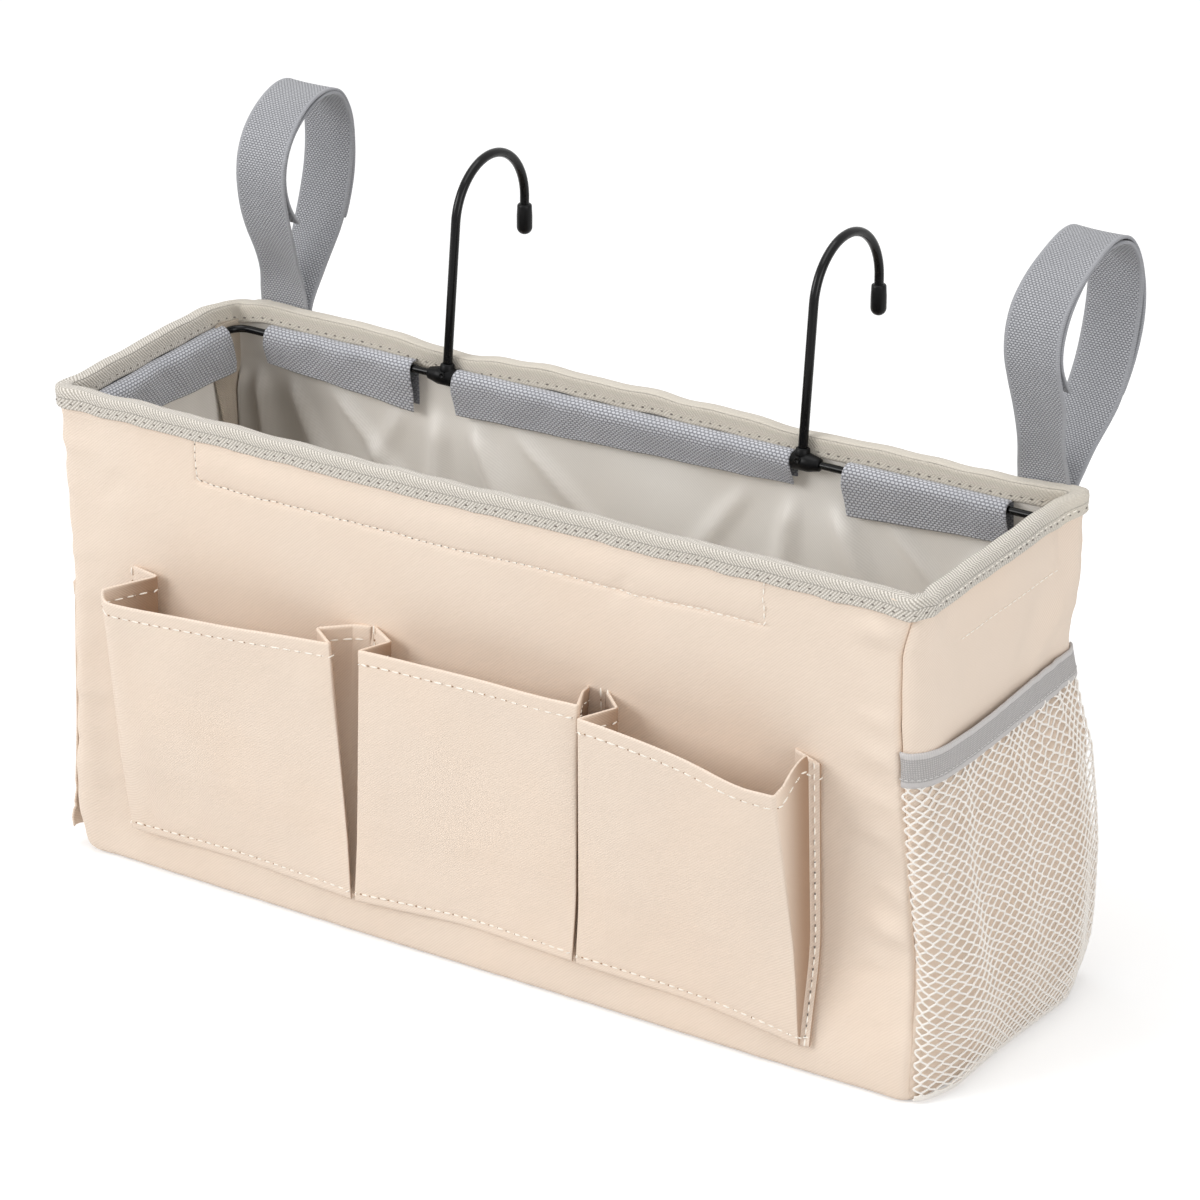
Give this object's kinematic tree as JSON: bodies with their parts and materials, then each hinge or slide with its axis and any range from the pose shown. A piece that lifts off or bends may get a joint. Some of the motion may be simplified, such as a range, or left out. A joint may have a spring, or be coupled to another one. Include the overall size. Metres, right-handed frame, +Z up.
{
  "type": "bedside caddy",
  "caption": "Open fabric caddy with a bound rim held by a wire frame, pivoting hooks and webbing loops for a bed rail, pleated front pockets and a net end pocket.",
  "frame": {"origin": "centre of the base's underside, on the surface the caddy stands on", "axes": "+X along the box's length towards the net pocket, -Y out of the pocketed front, +Y out of the back towards the bed, +Z up"},
  "size_m": [0.4254, 0.1987, 0.293],
  "materials": {
    "shell_cloth": "beige coated twill cloth, matt with a faint sheen",
    "board": "pale plastic sheet, smooth",
    "lining": "light grey coated lining, soft sheen",
    "binding": "heathered herringbone tape",
    "sleeve": "blue-grey woven loop cloth",
    "grip_tape": "grey hook tape",
    "black_wire": "glossy black coating",
    "black_plastic": "satin black moulding",
    "black_rubber": "satin black dipped rubber",
    "webbing": "grey hook-and-loop webbing",
    "net_yarn": "off-white knotted net yarn",
    "elastic": "grey woven elastic"
  },
  "bodies": {
    "caddy_body": {"shell_front": "shell_cloth", "shell_back": "shell_cloth", "shell_left_end": "shell_cloth", "shell_right_end": "shell_cloth", "shell_bottom": "shell_cloth", "board_front": "board", "board_back": "board", "board_left_end": "board", "board_right_end": "board", "board_base": "board", "lining_front": "lining", "lining_back": "lining", "lining_left_end": "lining", "lining_right_end": "lining", "lining_floor": "lining", "rim_binding": "binding", "corner_tape_front_left": "binding", "corner_tape_front_right": "binding", "corner_tape_rear_left": "binding", "corner_tape_rear_right": "binding", "wire_frame": "black_wire", "grip_tape_rear_left": "grip_tape", "grip_tape_rear_middle": "grip_tape", "grip_tape_rear_right": "grip_tape", "grip_tape_left_end": "grip_tape", "grip_tape_right_end": "grip_tape", "grip_tape_front": "grip_tape", "strap_root_left": "webbing", "strap_root_right": "webbing", "front_pocket_left": "shell_cloth", "front_pocket_middle": "shell_cloth", "front_pocket_right": "shell_cloth", "left_end_pocket": "shell_cloth", "net_pocket": "net_yarn", "elastic_band": "elastic"},
    "hook_left_body": {"hub_left": "black_plastic", "hook_left": "black_wire", "hook_cap_left": "black_rubber"},
    "hook_right_body": {"hub_right": "black_plastic", "hook_right": "black_wire", "hook_cap_right": "black_rubber"},
    "sleeve_rear_left_body": {"sleeve_rear_left": "sleeve"},
    "sleeve_rear_middle_body": {"sleeve_rear_middle": "sleeve"},
    "sleeve_rear_right_body": {"sleeve_rear_right": "sleeve"},
    "sleeve_left_end_body": {"sleeve_left_end": "sleeve"},
    "sleeve_right_end_body": {"sleeve_right_end": "sleeve"},
    "sleeve_front_body": {"sleeve_front": "sleeve"},
    "strap_left_body": {"strap_outer_left": "webbing", "strap_inner_left": "webbing"},
    "strap_right_body": {"strap_outer_right": "webbing", "strap_inner_right": "webbing"}
  },
  "joints": [
    {"name": "hook_left_fold", "type": "hinge", "parent": "caddy_body", "child": "hook_left_body", "pos_m": [-0.0853, 0.049, 0.194], "axis": [1, 0, 0], "range_deg": [0, 170]},
    {"name": "hook_right_fold", "type": "hinge", "parent": "caddy_body", "child": "hook_right_body", "pos_m": [0.0813, 0.049, 0.194], "axis": [1, 0, 0], "range_deg": [0, 170]},
    {"name": "sleeve_rear_left_peel", "type": "hinge", "parent": "caddy_body", "child": "sleeve_rear_left_body", "pos_m": [-0.1378, 0.0518, 0.19625], "axis": [-1, 0, 0], "range_deg": [0, 90]},
    {"name": "sleeve_rear_middle_peel", "type": "hinge", "parent": "caddy_body", "child": "sleeve_rear_middle_body", "pos_m": [-0.002, 0.0518, 0.19625], "axis": [-1, 0, 0], "range_deg": [0, 90]},
    {"name": "sleeve_rear_right_peel", "type": "hinge", "parent": "caddy_body", "child": "sleeve_rear_right_body", "pos_m": [0.1373, 0.0518, 0.19625], "axis": [-1, 0, 0], "range_deg": [0, 90]},
    {"name": "sleeve_left_end_peel", "type": "hinge", "parent": "caddy_body", "child": "sleeve_left_end_body", "pos_m": [-0.1928, 0, 0.19625], "axis": [0, -1, 0], "range_deg": [0, 90]},
    {"name": "sleeve_right_end_peel", "type": "hinge", "parent": "caddy_body", "child": "sleeve_right_end_body", "pos_m": [0.1928, 0, 0.19625], "axis": [0, 1, 0], "range_deg": [0, 90]},
    {"name": "sleeve_front_peel", "type": "hinge", "parent": "caddy_body", "child": "sleeve_front_body", "pos_m": [0, -0.0518, 0.19625], "axis": [1, 0, 0], "range_deg": [0, 90]},
    {"name": "strap_left_swing", "type": "hinge", "parent": "caddy_body", "child": "strap_left_body", "pos_m": [-0.1726, 0.0622, 0.197], "axis": [-1, 0, 0], "range_deg": [0, 120]},
    {"name": "strap_right_swing", "type": "hinge", "parent": "caddy_body", "child": "strap_right_body", "pos_m": [0.1826, 0.0622, 0.197], "axis": [-1, 0, 0], "range_deg": [0, 120]}
  ]
}
